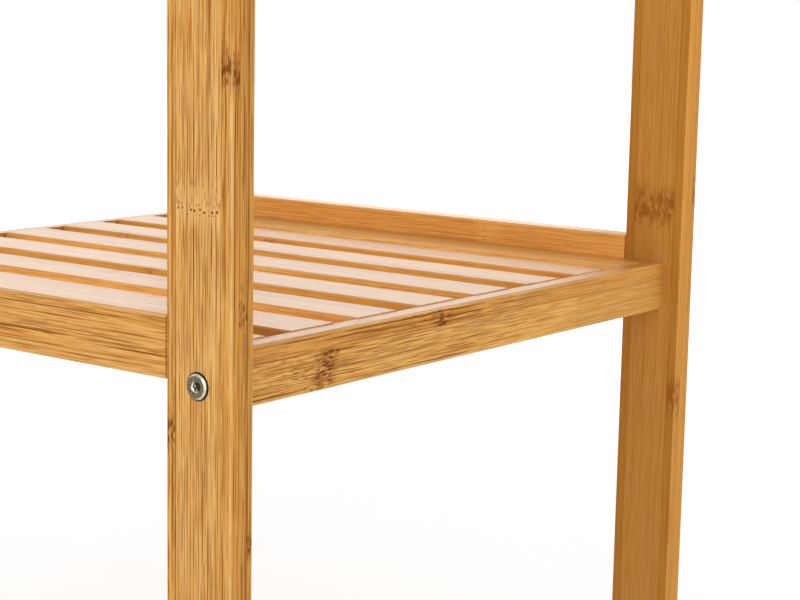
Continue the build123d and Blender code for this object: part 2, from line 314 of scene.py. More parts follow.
def find_contrast(wood):
    """How strongly the grain shows: the calm stretch of a board has less, and its narrow faces may."""
    tree = wood.tree
    given = wood.given
    calm = rise(tree, wood.along, given["Calm From"], maths(tree, "ADD", given["Calm From"], CALM_LENGTH))
    contrast = times(tree, given["Contrast"], span(tree, calm, 1.0, CALM_CONTRAST))
    wood.contrast = times(tree, contrast, span(tree, given["Side"], 1.0, given["Side Contrast"]))


RAGGED_CELL = (3.0, 1.0, 1.0)
RAGGED_REACH = (2.5, 9.0)  # at a tidy joint and at a knotty one
JOINT_NEAR = (22.0, 3.0)
TAIL_START = (3.0, 10.0)
TAIL_END = (90.0, 15.0)
DASHES_FULL = 0.3  # share of the reach where the dashes are all there
DASHES_END = (4.0, -3.0)


def find_joint(wood):
    """Distance along the cane past the nearest joint, and the stretches before it, round it and past it."""
    tree = wood.tree
    given = wood.given
    wood.knot = maths(tree, "MAXIMUM", given["Knot"], wood.outer)
    wood.tidy = maths(tree, "SUBTRACT", 1.0, wood.knot)
    ragged_place = joined(tree, wood.face_across, wood.strip_start, wood.seeded)
    ragged = cloud(tree, ragged_place, RAGGED_CELL, detail=2.0)
    ragged = times(tree, maths(tree, "SUBTRACT", ragged, 0.5), span(tree, wood.knot, *RAGGED_REACH))
    lean = times(tree, wood.across, given["Joint Lean"])
    step = times(tree, wood.strip, given["Joint Step"])
    step = maths(tree, "MULTIPLY_ADD", wood.outer, given["Joint Skew"], step)
    deeper = maths(tree, "SUBTRACT", wood.ply, given["Face Ply"])
    start = maths(tree, "ADD", given["Joint Place"], lean)
    start = maths(tree, "ADD", start, step)
    start = maths(tree, "MULTIPLY_ADD", deeper, given["Ply Step"], start)
    past = maths(tree, "ADD", maths(tree, "SUBTRACT", wood.along, start), ragged)
    wood.past = wrapped(tree, past, given["Joint Spacing"])
    wood.away = maths(tree, "ABSOLUTE", wood.past)
    wood.near = rise(tree, wood.away, *JOINT_NEAR)
    wood.tail = times(tree, rise(tree, wood.past, *TAIL_START), rise(tree, wood.past, *TAIL_END))
    dashes_start = times(tree, given["Dash Reach"], -1.0)
    dashes_full = times(tree, given["Dash Reach"], -DASHES_FULL)
    wood.before = rise(tree, wood.past, dashes_start, dashes_full)
    wood.before = times(tree, wood.before, rise(tree, wood.past, *DASHES_END))


SWAY_CELL = (9.0, 1.0, 38.0)
SWAY_REACH = (0.35, 2.2)
STRIP_JUMP_ACROSS = 190.0
STRIP_JUMP_ALONG = 900.0
FLAME_CELL = (1.0, 1.0, 1.0)
FLAME_REACH = 26.0
CLEARED_START = (-16.0, -6.0)
CLEARED_END = (8.0, 1.0)


def lay_fibres(wood):
    """Fibre coordinates: nearly straight, wavy at a joint, new in each strip. A tidy joint is cleared of
    bundles, with flame-like ends."""
    tree = wood.tree
    sway = cloud(tree, joined(tree, wood.face_across, wood.seeded, wood.along), SWAY_CELL)
    sway = times(tree, maths(tree, "SUBTRACT", sway, 0.5), span(tree, wood.near, *SWAY_REACH))
    swayed = maths(tree, "ADD", wood.face_across, sway)
    wood.fibre_across = maths(tree, "MULTIPLY_ADD", wood.strip_start, STRIP_JUMP_ACROSS, swayed)
    wood.fibre_along = maths(tree, "MULTIPLY_ADD", wood.strip_warmth, STRIP_JUMP_ALONG, wood.along)
    wood.fibre_row = joined(tree, wood.fibre_across, wood.seeded, 0.0)
    wood.sheet = joined(tree, wood.fibre_across, wood.fibre_along, 0.0)
    flame = cloud(tree, wood.fibre_row, FLAME_CELL)
    flame_past = maths(tree, "SUBTRACT", wood.past, FLAME_REACH / 2)
    flame_past = maths(tree, "MULTIPLY_ADD", flame, FLAME_REACH, flame_past)
    cleared = times(tree, rise(tree, flame_past, *CLEARED_START), rise(tree, flame_past, *CLEARED_END))
    wood.cleared = times(tree, cleared, wood.tidy)


FIBRE_WIDTH = 0.62
UNEVEN_CELL = (2.2, 1.0, 1.0)
UNEVEN_REACH = 0.6
LOT_ACROSS = 900.0  # the fibres read the noise at places spread this far
LOT_ALONG = 9000.0
SHORT_TONE_CELL = (1.0, 22.0, 1.0)
LONG_TONE_CELL = (1.0, 130.0, 1.0)
FINE_CELL = (0.45, 24.0, 1.0)
BROAD_CELL = (6.0, 120.0, 1.0)


def tone_fibres(wood):
    """Each fibre keeps its place across the board, and its tone drifts along its length."""
    tree = wood.tree
    uneven = cloud(tree, wood.fibre_row, UNEVEN_CELL)
    fibre = maths(tree, "MULTIPLY_ADD", uneven, UNEVEN_REACH, wood.fibre_across)
    lot = put(tree, "TexWhiteNoise", noise_dimensions="1D")
    feed(tree, lot.inputs["W"], maths(tree, "FLOOR", maths(tree, "DIVIDE", fibre, FIBRE_WIDTH)))
    lot_start, lot_short, lot_long = parted(tree, lot.outputs["Color"])
    run = maths(tree, "MULTIPLY_ADD", lot_start, LOT_ALONG, wood.fibre_along)
    short_place = joined(tree, times(tree, lot_short, LOT_ACROSS), run, wood.seeded)
    long_place = joined(tree, times(tree, lot_long, LOT_ACROSS), run, wood.seeded)
    wood.short_tone = cloud(tree, short_place, SHORT_TONE_CELL)
    wood.long_tone = cloud(tree, long_place, LONG_TONE_CELL)
    wood.fine = cloud(tree, wood.sheet, FINE_CELL, detail=2.0, roughness=0.6)
    wood.broad = cloud(tree, wood.sheet, BROAD_CELL)


LONG_BUNDLE = {"pitch": 1.75, "core": 0.66, "reach": 44.0}
THIN_BUNDLE = {"pitch": 0.95, "core": 0.44, "reach": 17.0}
BUNDLE_SPREAD = 0.75
BUNDLE_EDGE = (0.75, 0.25)  # shares of its core
BUNDLE_COMES = (0.36, 0.64)
BUNDLE_LEVEL = (0.45, 0.98)


def straight_bundles(wood, across, pitch, core, reach):
    """Straight dark bundles, one to each pitch across the board, that come and go along its length."""
    tree = wood.tree
    spaced = put(tree, "TexVoronoi", voronoi_dimensions="1D")
    feed(tree, spaced.inputs["W"], maths(tree, "DIVIDE", across, pitch))
    spaced.inputs["Scale"].default_value = 1.0
    spaced.inputs["Randomness"].default_value = BUNDLE_SPREAD
    lot_side, lot_start, lot_level = parted(tree, spaced.outputs["Color"])
    run = maths(tree, "MULTIPLY_ADD", lot_start, LOT_ALONG, wood.fibre_along)
    place = joined(tree, times(tree, lot_side, LOT_ACROSS), run, wood.seeded)
    shown = rise(tree, cloud(tree, place, (1.0, reach, 1.0)), *BUNDLE_COMES)
    fade, full = (share * core / pitch for share in BUNDLE_EDGE)
    line = rise(tree, spaced.outputs["Distance"], fade, full)
    return times(tree, line, shown, span(tree, lot_level, *BUNDLE_LEVEL))


DASH_CELL = (1.1, 8.0, 1.0)
DASH_SPREAD = 0.9
DASH_EDGE = (0.36, 0.10)
DASH_LEVEL = (0.20, 0.90)


def short_dashes(wood):
    """Short dark dashes on the way to a joint."""
    tree = wood.tree
    gap, drawn = grains(tree, wood.sheet, DASH_CELL, DASH_SPREAD)
    level = times(tree, span(tree, drawn[1], *DASH_LEVEL), wood.before)
    return times(tree, rise(tree, gap, *DASH_EDGE), level)


PORE_CELL = (0.9, 0.9, 1.0)
PORE_SPREAD = 0.8
PORE_EDGE = (0.42, 0.20)
PORE_LEVEL = (0.30, 0.80)


def end_pores(wood):
    """The bundles cut across, as dark pores on the end grain."""
    tree = wood.tree
    gap, drawn = grains(tree, joined(tree, wood.across, wood.through, 0.0), PORE_CELL, PORE_SPREAD)
    level = times(tree, span(tree, drawn[0], *PORE_LEVEL), wood.contrast)
    return times(tree, rise(tree, gap, *PORE_EDGE), level)


THIN_JUMP = 500.0
THIN_LEVEL = 0.85
PATCH_CELL = (8.0, 120.0, 1.0)
PATCH_LEVEL = (0.70, 1.20)
TAIL_LEVEL = 1.15
CLEARED_LEVEL = 0.55


def draw_bundles(wood):
    """Long and thin bundles everywhere, dashes on the way to a joint, and pores on the end grain."""
    tree = wood.tree
    long_line = straight_bundles(wood, wood.fibre_across, **LONG_BUNDLE)
    thin_across = maths(tree, "ADD", wood.fibre_across, THIN_JUMP)
    thin_line = straight_bundles(wood, thin_across, **THIN_BUNDLE)
    line = maths(tree, "MAXIMUM", long_line, times(tree, thin_line, THIN_LEVEL))
    line = times(tree, line, span(tree, cloud(tree, wood.sheet, PATCH_CELL), *PATCH_LEVEL))
    line = times(tree, line, span(tree, wood.tail, 1.0, TAIL_LEVEL))
    line = times(tree, line, span(tree, wood.cleared, 1.0, CLEARED_LEVEL))
    line = maths(tree, "MAXIMUM", line, short_dashes(wood))
    line = times(tree, line, wood.contrast)
    wood.bundle = between(tree, wood.given["End"], line, end_pores(wood))


DOT_CELL = (2.6, 2.7, 1.0)
DOT_SPREAD = 0.55
DOT_EDGE = (0.27, 0.14)
DOT_ROWS_EDGE = (3.1, 2.3)
DOT_ROWS_PARTING = (-0.3, 0.3)
FIRST_ROW_LEVEL = 0.35
DOT_CHANCE = (0.05, 0.45)


def draw_dots(wood):
    """A tidy joint is a row or two of dots on pale wood."""
    tree = wood.tree
    gap, drawn = grains(tree, joined(tree, wood.fibre_across, wood.past, 0.0), DOT_CELL, DOT_SPREAD)
    dot = times(tree, rise(tree, gap, *DOT_EDGE), rise(tree, wood.away, *DOT_ROWS_EDGE))
    dot = times(tree, dot, span(tree, rise(tree, wood.past, *DOT_ROWS_PARTING), FIRST_ROW_LEVEL, 1.0))
    dot = times(tree, dot, rise(tree, drawn[0], *DOT_CHANCE))
    wood.dot = times(tree, dot, wood.tidy, wood.contrast)


WASH_CELL = (3.4, 6.0, 1.0)
WASH_CLOUD = (0.36, 0.60)
WASH_END = 1.6  # this and the next two are shares of the joint's spread
WASH_FULL = 0.4
STROKE_FULL = 0.5
STROKE_CELL = (1.5, 4.2, 1.0)
STROKE_SPREAD = 1.0
STROKE_EDGE = (0.60, 0.26)
STROKE_CHANCE = (0.05, 0.40)


def draw_knots(wood):
    """A knotty joint is a brown wash with dark strokes crowded in it."""
    tree = wood.tree
    spread = wood.given["Joint Spread"]
    wash_end = times(tree, spread, WASH_END)
    wash_full = times(tree, spread, WASH_FULL)
    wash_place = joined(tree, wood.fibre_across, wood.along, wood.seeded)
    wash = cloud(tree, wash_place, WASH_CELL, detail=2.0)
    wash = times(tree, rise(tree, wash, *WASH_CLOUD), wood.knot)
    wood.wash = times(tree, wash, rise(tree, wood.away, wash_end, wash_full))
    gap, drawn = grains(tree, wood.sheet, STROKE_CELL, STROKE_SPREAD)
    stroke = times(tree, rise(tree, gap, *STROKE_EDGE), wood.knot)
    stroke = times(tree, stroke, rise(tree, drawn[0], *STROKE_CHANCE))
    stroke = times(tree, stroke, rise(tree, wood.away, spread, times(tree, spread, STROKE_FULL)))
    wood.stroke = times(tree, stroke, wood.contrast)


PALE_SHARE = 0.69
FINE_SWING = 1.2
SHORT_SWING = 1.5
LONG_SWING = 1.5
CLEARED_PALER = 0.3
STRIP_WARMER = 0.30
OUTER_WARMER = 0.35
STRIP_OLIVE = 0.25


def ground_colour(wood):
    """Pale fibres on a darker ground, and strips that differ in warmth."""
    tree = wood.tree
    given = wood.given
    share = PALE_SHARE - (FINE_SWING + SHORT_SWING + LONG_SWING) / 2
    share = maths(tree, "MULTIPLY_ADD", wood.fine, FINE_SWING, share)
    share = maths(tree, "MULTIPLY_ADD", wood.short_tone, SHORT_SWING, share)
    share = maths(tree, "MULTIPLY_ADD", wood.long_tone, LONG_SWING, share)
    share = maths(tree, "MULTIPLY_ADD", wood.cleared, CLEARED_PALER, share)
    share = maths(tree, "MULTIPLY_ADD", maths(tree, "SUBTRACT", share, 0.5), wood.contrast, 0.5)
    colour = blend(tree, rise(tree, share, 0.0, 1.0), GROUND, PALE_FIBRE)
    outer_share = maths(tree, "MAXIMUM", given["Side"], given["Outer Share"])
    wood.outer_tone = times(tree, wood.outer, outer_share)
    warm_share = maths(tree, "MULTIPLY_ADD", wood.strip_warmth, STRIP_WARMER, given["Warmth"])
    warm_share = maths(tree, "MULTIPLY_ADD", wood.outer_tone, OUTER_WARMER, warm_share)
    colour = blend(tree, warm_share, colour, WARM_STRIP)
    return blend(tree, times(tree, wood.strip_start, STRIP_OLIVE), colour, OLIVE_STRIP)


BROAD_LEVEL = (0.92, 1.08)
STRIP_LEVEL = (0.93, 1.05)
OUTER_LEVEL = 0.94
BUTT_LINE = (-0.4, 0.4)
BUTT_LEVEL = 0.93
# Where along the board the painted shade on the face ply starts and where it is full.
PAINTED_SHADE_STRETCH = (100.0, 250.0)


def board_level(wood):
    """How light the board is: by strip, by face, past a butt joint, and darker as painted shade on its face
    ply past a stretch along it.
    """
    tree = wood.tree
    given = wood.given
    level = times(tree, span(tree, wood.broad, *BROAD_LEVEL), span(tree, wood.strip_tone, *STRIP_LEVEL))
    level = times(tree, level, span(tree, wood.outer_tone, 1.0, OUTER_LEVEL))
    butted = rise(tree, maths(tree, "SUBTRACT", wood.along, given["Butt Place"]), *BUTT_LINE)
    wood.butted = times(tree, butted, maths(tree, "SUBTRACT", 1.0, wood.outer))
    level = times(tree, level, span(tree, wood.butted, 1.0, BUTT_LEVEL), given["Tone"])
    level = times(tree, level, span(tree, given["Side"], 1.0, given["Side Tone"]))
    # Painted shade: the face ply darkens past a stretch along the board; on the far leg this is the lower
    # wide face, under the shelf.
    face_ply = maths(tree, "COMPARE", wood.ply, given["Face Ply"], 0.5)
    painted_shade = times(tree, rise(tree, wood.along, *PAINTED_SHADE_STRETCH), face_ply)
    return times(tree, level, span(tree, painted_shade, 1.0, given["Painted Shade Tone"]))


GLUE_LEVEL = 0.40
STROKE_LEVEL = 0.75


def marked(wood, colour):
    """The colour with its bundles, glue lines and cane joints."""
    tree = wood.tree
    colour = blend(tree, wood.bundle, colour, DARK_FIBRE)
    butt_line = times(tree, maths(tree, "PINGPONG", wood.butted, 0.5), 2.0)
    wood.glue_line = maths(tree, "MAXIMUM", wood.glue_line, butt_line)
    colour = blend(tree, times(tree, wood.glue_line, GLUE_LEVEL), colour, DARK_FIBRE)
    colour = blend(tree, times(tree, wood.wash, wood.given["Wash"]), colour, KNOT_WASH)
    colour = blend(tree, times(tree, wood.stroke, STROKE_LEVEL), colour, KNOT_STROKE)
    return blend(tree, wood.dot, colour, DOT_BROWN)


# Pale long edges: wear, and also a painted highlight along the arrises.
WORN_HIGHLIT_WIDTH = (1.25, 0.6)
HANDLED_CELL = (30.0, 30.0, 45.0)
HANDLED_CLOUD = (0.35, 0.60)
WORN_HIGHLIT_LEVEL = (0.20, 0.80)


def edges_worn_and_highlit(wood, colour):
    """The long edges are pale, here more and there less: wear, and also a painted highlight along the
    arrises.
    """
    tree = wood.tree
    given = wood.given
    from_side = maths(tree, "SUBTRACT", given["Half Width"], maths(tree, "ABSOLUTE", wood.across))
    from_face = maths(tree, "SUBTRACT", given["Half Thickness"], maths(tree, "ABSOLUTE", wood.through))
    worn_highlit = rise(tree, maths(tree, "MAXIMUM", from_side, from_face), *WORN_HIGHLIT_WIDTH)
    handled = rise(tree, cloud(tree, given["Place"], HANDLED_CELL, detail=2.0), *HANDLED_CLOUD)
    worn_highlit = times(tree, worn_highlit, span(tree, handled, *WORN_HIGHLIT_LEVEL), wood.contrast)
    return blend(tree, worn_highlit, colour, WORN_EDGE_HIGHLIGHT)


FIBRE_ROUGHNESS = (0.28, 0.44)
SPECK_ROUGHER = 0.18
BUNDLE_HEIGHT = -0.35
SPECK_HEIGHT = -0.8
JOINT_HEIGHT = 0.3
GLUE_HEIGHT = -0.3


def laminated_bamboo():
    """Bamboo strips glued side by side in plies, with their fibre bundles and the joints of the cane."""
    tree, given, result = new_group("laminated_bamboo", BOARD_INPUTS, BOARD_OUTPUTS)
    wood = SimpleNamespace(tree=tree, given=given)
    wood.across, wood.through, wood.along = parted(tree, given["Place"])
    find_strips(wood)
    find_contrast(wood)
    find_joint(wood)
    lay_fibres(wood)
    tone_fibres(wood)
    draw_bundles(wood)
    draw_dots(wood)
    draw_knots(wood)
    colour = ground_colour(wood)
    colour = shaded(tree, colour, board_level(wood))
    colour = marked(wood, colour)
    feed(tree, result["Color"], edges_worn_and_highlit(wood, colour))
    speck = maths(tree, "MAXIMUM", wood.dot, wood.stroke)
    rough = span(tree, wood.fine, *FIBRE_ROUGHNESS)
    feed(tree, result["Roughness"], maths(tree, "MULTIPLY_ADD", speck, SPECK_ROUGHER, rough))
    height = maths(tree, "MULTIPLY_ADD", wood.bundle, BUNDLE_HEIGHT, wood.fine)
    height = maths(tree, "MULTIPLY_ADD", speck, SPECK_HEIGHT, height)
    height = maths(tree, "MULTIPLY_ADD", wood.near, JOINT_HEIGHT, height)
    feed(tree, result["Height"], maths(tree, "MULTIPLY_ADD", wood.glue_line, GLUE_HEIGHT, height))
    return tree


BAMBOO = laminated_bamboo()
END_GRAIN = (0.90, 0.98)  # how squarely a face looks along the board
NARROW_FACE = 0.70
BOARD_BUMP = {"strength": 0.55, "depth": 0.12}
LOOKS_UP = (0.50, 0.95)
TOP_LACQUER = 0.45  # the lacquer lies thicker on faces that look up
LACQUER_ROUGHNESS = 0.25
BARE_GLOSS = 0.06


def bamboo_board(node, along, across, seed, joint_at, **looks):
    """Lacquered bamboo for one board. along and across are the rack's axes that its length and width lie on,
    joint_at is where on the first its middle strip has a cane joint, and looks are inputs of the group."""
    low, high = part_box(node)
    centre = (low + high) / 2
    half = (high - low) / (2 * MM)
    long_axis = along[-1]
    wide_axis = across[-1]
    thin_axis = ({"X", "Y", "Z"} - {long_axis, wide_axis}).pop()
    sense = -1.0 if along[0] == "-" else 1.0
    material, tree, shader = new_material("bamboo_" + node)
    bamboo = put(tree, "Group", node_tree=BAMBOO)
    feed(tree, bamboo.inputs["Place"], own_place(tree, centre, along, across))
    facing = parted(tree, put(tree, "TexCoord").outputs["Normal"])
    endwise = maths(tree, "ABSOLUTE", facing["XYZ".index(long_axis)])
    sideways = maths(tree, "ABSOLUTE", facing["XYZ".index(wide_axis)])
    feed(tree, bamboo.inputs["End"], rise(tree, endwise, *END_GRAIN))
    feed(tree, bamboo.inputs["Side"], maths(tree, "GREATER_THAN", sideways, NARROW_FACE))
    values = {
        "Joint Place": sense * (joint_at - centre.dot(AXES[long_axis]) / MM),
        "Seed": float(seed),
        "Half Width": half.dot(AXES[wide_axis]),
        "Half Thickness": half.dot(AXES[thin_axis]),
    }
    values.update({name.replace("_", " ").title(): value for name, value in looks.items()})
    for name, value in values.items():
        bamboo.inputs[name].default_value = value
    feed(tree, shader.inputs["Base Color"], bamboo.outputs["Color"])
    feed(tree, shader.inputs["Roughness"], bamboo.outputs["Roughness"])
    raised(tree, shader, bamboo.outputs["Height"], **BOARD_BUMP)
    shader.inputs["Specular IOR Level"].default_value = BARE_GLOSS
    feed(tree, shader.inputs["Coat Weight"], times(tree, rise(tree, facing[2], *LOOKS_UP), TOP_LACQUER))
    shader.inputs["Coat Roughness"].default_value = LACQUER_ROUGHNESS
    cover(node, material)


# The boards of the rack

LEG = {"strip_width": 26.0, "strip_shift": 13.0, "ply": 5.4, "joint_spacing": 420.0}
NEAR_LEG = {
    "joint_step": 78.0,
    "joint_skew": 20.5,
    "joint_spread": 7.0,
    "wash": 0.5,
    "ply_step": 101.0,
    "dash_reach": 24.0,
    "outer_share": 0.35,
}
FAR_LEG = {
    "joint_step": 79.0,
    "joint_skew": 191.0,
    "joint_spread": 11.0,
    "ply_step": 150.0,
    "knot": 1.0,
    "wash": 0.6,
    "tone": 0.82,
    "side_tone": 1.4,
    # painted shade on the lower wide face, under the shelf
    "painted_shade_tone": 0.84,
    "warmth": 0.3,
    "contrast": 0.35,
}
bamboo_board("leg_left_front", "-Z", "Y", seed=1, joint_at=330.0, **LEG, **NEAR_LEG)
bamboo_board("leg_right_front", "-Z", "Y", seed=2, joint_at=302.0, **LEG, **FAR_LEG)
bamboo_board("leg_left_rear", "-Z", "Y", seed=3, joint_at=512.0, joint_step=-66.0, tone=0.97, **LEG)
bamboo_board("leg_right_rear", "-Z", "Y", seed=4, joint_at=445.0, joint_step=104.0, tone=0.95, **LEG)

SHELF_END_RAIL = {"strip_width": 30.0, "strip_shift": 15.0, "ply": 5.4, "side_contrast": 0.45}
# The far end rail's tone is raised as painted light, against the shade the slats and the near end frame cast
# on its inner face.
FAR_END_RAIL = {"tone": 1.26, "contrast": 0.4, "wash": 0.2}
TOP_END_RAIL = {"strip_width": 21.0, "strip_shift": 10.5, "ply": 5.4}
bamboo_board("shelf_end_rail_left", "Y", "Z", seed=5, joint_at=40.0, tone=0.97, **SHELF_END_RAIL)
bamboo_board("shelf_end_rail_right", "Y", "Z", seed=6, joint_at=-62.0, **SHELF_END_RAIL, **FAR_END_RAIL)
bamboo_board("top_end_rail_left", "Y", "Z", seed=7, joint_at=88.0, joint_step=62.0, **TOP_END_RAIL)
bamboo_board(
    "top_end_rail_right", "Y", "Z", seed=8, joint_at=-35.0, joint_step=-58.0, tone=0.97, **TOP_END_RAIL
)

SIDE_RAIL = {
    "strip_width": 20.0,
    "strip_shift": 15.5,
    "ply": 5.0,
    "joint_lean": 0.5,
    "joint_spacing": 400.0,
    "joint_spread": 8.0,
    "knot": 1.0,
    "wash": 0.6,
    "dash_reach": 58.0,
    "warmth": 0.15,
    "side_contrast": 0.45,
}
FRONT_RAIL = {
    "joint_step": 84.0,
    "face_ply": 2.0,
    "butt_place": 92.0,
    "calm_from": -10.0,
    "contrast": 1.1,
}
bamboo_board("shelf_side_rail_front", "X", "Z", seed=9, joint_at=-121.0, **SIDE_RAIL, **FRONT_RAIL)
bamboo_board("shelf_side_rail_rear", "X", "Z", seed=10, joint_at=95.0, joint_step=-72.0, **SIDE_RAIL)

SLAT = {
    "strip_width": 24.0,
    "ply": 12.0,
    "joint_step": 77.0,
    "contrast": 0.45,
    "wash": 0.2,
    # painted light: the narrow faces are lightened where they sit in the shaded gaps between slats
    "side_tone": 1.3,
}
SLAT_FIRST_SEED = 21
SLAT_JOINTS = (-48.0, 96.0, -128.0, 21.0, -85.0, 140.0, 62.0, -12.0)
SLAT_SHIFTS = (9.0, 15.6, 20.0, 12.0, 17.5, 8.0, 14.0, 19.0)
# The last slat, beside the far end rail, is a little lighter as painted light against that rail's shade.
SLAT_TONES = (0.93, 0.97, 0.95, 0.97, 0.94, 0.96, 0.97, 1.01)
for count, (joint_at, shift, tone) in enumerate(zip(SLAT_JOINTS, SLAT_SHIFTS, SLAT_TONES)):
    slat = f"shelf_slat_{count + 1}"
    bamboo_board(slat, "Y", "X", SLAT_FIRST_SEED + count, joint_at, strip_shift=shift, tone=tone, **SLAT)

BAR = {"strip_width": 10.0, "strip_shift": 5.0, "ply": 5.0, "joint_spread": 3.0}
bamboo_board("towel_bar_front", "X", "Z", seed=31, joint_at=55.0, joint_step=64.0, **BAR)
bamboo_board("towel_bar_middle", "X", "Z", seed=32, joint_at=-92.0, joint_step=-83.0, tone=0.97, **BAR)
bamboo_board("towel_bar_rear", "X", "Z", seed=33, joint_at=120.0, joint_step=71.0, **BAR)


# Plated fasteners. Sizes are in millimetres.

NEUTRAL = (1.0, 1.0, 1.0, 1.0)
METAL_INPUTS = [("Place", "Vector", None), ("Bright", "Color", NEUTRAL), ("Dull", "Color", NEUTRAL)]
METAL_OUTPUTS = [("Color", "Color"), ("Roughness", "Float"), ("Height", "Float"), ("Pitting", "Float")]
TARNISH_CELL = (2.6, 2.6, 2.6)
TARNISH_CLOUD = (0.34, 0.66)
TARNISH_ROUGHNESS = (0.16, 0.36)
RUBBING_CELL = (0.25, 3.0, 0.25)
RUBBING_LEVEL = (0.88, 1.10)
RUBBING_ROUGHER = 0.10
PIT_CELL = (0.7, 0.7, 0.7)
PIT_CLOUD = (0.34, 0.66)
PIT_LEVEL = (0.45, 1.60)


def handled_metal():
    """Tarnish clouds, fine rubbing marks and pitting on a plated fastener."""
    tree, given, result = new_group("handled_metal", METAL_INPUTS, METAL_OUTPUTS)
    tarnish = cloud(tree, given["Place"], TARNISH_CELL, detail=3.0, roughness=0.6)
    rubbing = cloud(tree, given["Place"], RUBBING_CELL, detail=2.0, roughness=0.6)
    pits = cloud(tree, given["Place"], PIT_CELL, detail=3.0, roughness=0.7)
    colour = blend(tree, rise(tree, tarnish, *TARNISH_CLOUD), given["Bright"], given["Dull"])
    feed(tree, result["Color"], shaded(tree, colour, span(tree, rubbing, *RUBBING_LEVEL)))
    rough = span(tree, tarnish, *TARNISH_ROUGHNESS)
    feed(tree, result["Roughness"], maths(tree, "MULTIPLY_ADD", rubbing, RUBBING_ROUGHER, rough))
    feed(tree, result["Height"], rubbing)
    feed(tree, result["Pitting"], span(tree, rise(tree, pits, *PIT_CLOUD), *PIT_LEVEL))
    return tree


HEAD_INPUTS = [
    ("Place", "Vector", None),
    ("Middle", "Float", 0.0),
    ("Pitch", "Float", 1.0),
    ("Height", "Float", 0.0),
]
HEAD_OUTPUTS = [("Dull Face", "Float"), ("Socket", "Float"), ("Seat Shadow", "Float")]
# Inside this radius the socket is painted dark, as shade in its recess.
SOCKET_RADIUS = (2.10, 1.80)
FACE_INNER_RADIUS = (2.50, 2.75)
FACE_OUTER_RADIUS = (4.95, 4.70)
# From here out, a painted shadow ring where the head's edge meets its seat.
SEAT_SHADOW_RADIUS = (5.50, 5.75)


def bolt_head_wear_and_shade():
    """How a bolt head looks: a bright rim where handling has polished it, a dull face, a socket painted dark
    as shade in its recess with a bright lip, and a painted shadow ring where its edge meets its seat.
    """
    tree, given, result = new_group("bolt_head_wear_and_shade", HEAD_INPUTS, HEAD_OUTPUTS)
    _, along_depth, up = parted(tree, given["Place"])
    aside = wrapped(tree, maths(tree, "SUBTRACT", along_depth, given["Middle"]), given["Pitch"])
    above = maths(tree, "SUBTRACT", up, given["Height"])
    square = maths(tree, "MULTIPLY_ADD", above, above, times(tree, aside, aside))
    radius = maths(tree, "SQRT", square)
    face = times(tree, rise(tree, radius, *FACE_INNER_RADIUS), rise(tree, radius, *FACE_OUTER_RADIUS))
    feed(tree, result["Dull Face"], face)
    feed(tree, result["Socket"], rise(tree, radius, *SOCKET_RADIUS))
    feed(tree, result["Seat Shadow"], rise(tree, radius, *SEAT_SHADOW_RADIUS))
    return tree


def head_row(node, heads):
    """Where the bolt heads of an end frame are, in millimetres: the last one, their pitch and height."""
    low, high = (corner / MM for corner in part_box(node))
    radius = (high.z - low.z) / 2
    pitch = (high.y - low.y - 2 * radius) / (heads - 1)
    return {"Middle": high.y - radius, "Pitch": pitch, "Height": low.z + radius}


HANDLED_METAL = handled_metal()
BOLT_HEAD_WEAR_AND_SHADE = bolt_head_wear_and_shade()
WORN_FACE = paint(104, 97, 72)
# Painted shade in the socket's recess.
SOCKET_SHADE = paint(58, 52, 42)
# A painted shadow ring where the head's edge meets its seat.
PAINTED_SEAT_SHADOW = paint(62, 54, 40)
METAL_BUMP = {"strength": 0.25, "depth": 0.03}


def metal(name, nodes, bright, dull, heads=0):
    """A plated metal for some nodes; heads is how many bolt heads each end frame shows of the first one."""
    material, tree, shader = new_material(name)
    place = own_place(tree, ORIGIN, "Z", "X")
    marks = put(tree, "Group", node_tree=HANDLED_METAL)
    feed(tree, marks.inputs["Place"], place)
    marks.inputs["Bright"].default_value = bright
    marks.inputs["Dull"].default_value = dull
    colour = marks.outputs["Color"]
    if heads:
        head_wear_and_shade = put(tree, "Group", node_tree=BOLT_HEAD_WEAR_AND_SHADE)
        feed(tree, head_wear_and_shade.inputs["Place"], place)
        for title, value in head_row(nodes[0], heads).items():
            head_wear_and_shade.inputs[title].default_value = value
        worn_face = shaded(tree, WORN_FACE, marks.outputs["Pitting"])
        colour = blend(tree, head_wear_and_shade.outputs["Dull Face"], colour, worn_face)
        # painted shade in the socket's recess
        colour = blend(tree, head_wear_and_shade.outputs["Socket"], colour, SOCKET_SHADE)
        # painted shadow ring at the head's edge, where it sits in its seat
        colour = blend(tree, head_wear_and_shade.outputs["Seat Shadow"], colour, PAINTED_SEAT_SHADOW)
    feed(tree, shader.inputs["Base Color"], colour)
    feed(tree, shader.inputs["Roughness"], marks.outputs["Roughness"])
    raised(tree, shader, marks.outputs["Height"], **METAL_BUMP)
    shader.inputs["Metallic"].default_value = 1.0
    for node in nodes:
        cover(node, material)


NICKEL = {"bright": paint(214, 209, 198), "dull": paint(184, 177, 162)}
ZINC = {"bright": paint(205, 206, 204), "dull": paint(160, 162, 160)}
BRASS = {"bright": paint(206, 168, 92), "dull": paint(160, 122, 60)}
metal("shelf_bolt_nickel", ["shelf_bolts"], heads=2, **NICKEL)
metal("bar_bolt_nickel", ["bar_bolts"], heads=3, **NICKEL)
metal("zinc_plate", ["barrel_nuts", "slat_screws"], **ZINC)
metal("insert_brass", ["bar_inserts"], **BRASS)


# Dowels and feet. Sizes are in millimetres.

BEECH_DARK = paint(196, 150, 104)
BEECH_PALE = paint(226, 190, 146)
FLECK_CELL = (0.7, 0.7, 5.0)
FLECK_CLOUD = (0.35, 0.65)
BEECH_ROUGHNESS = (0.50, 0.70)


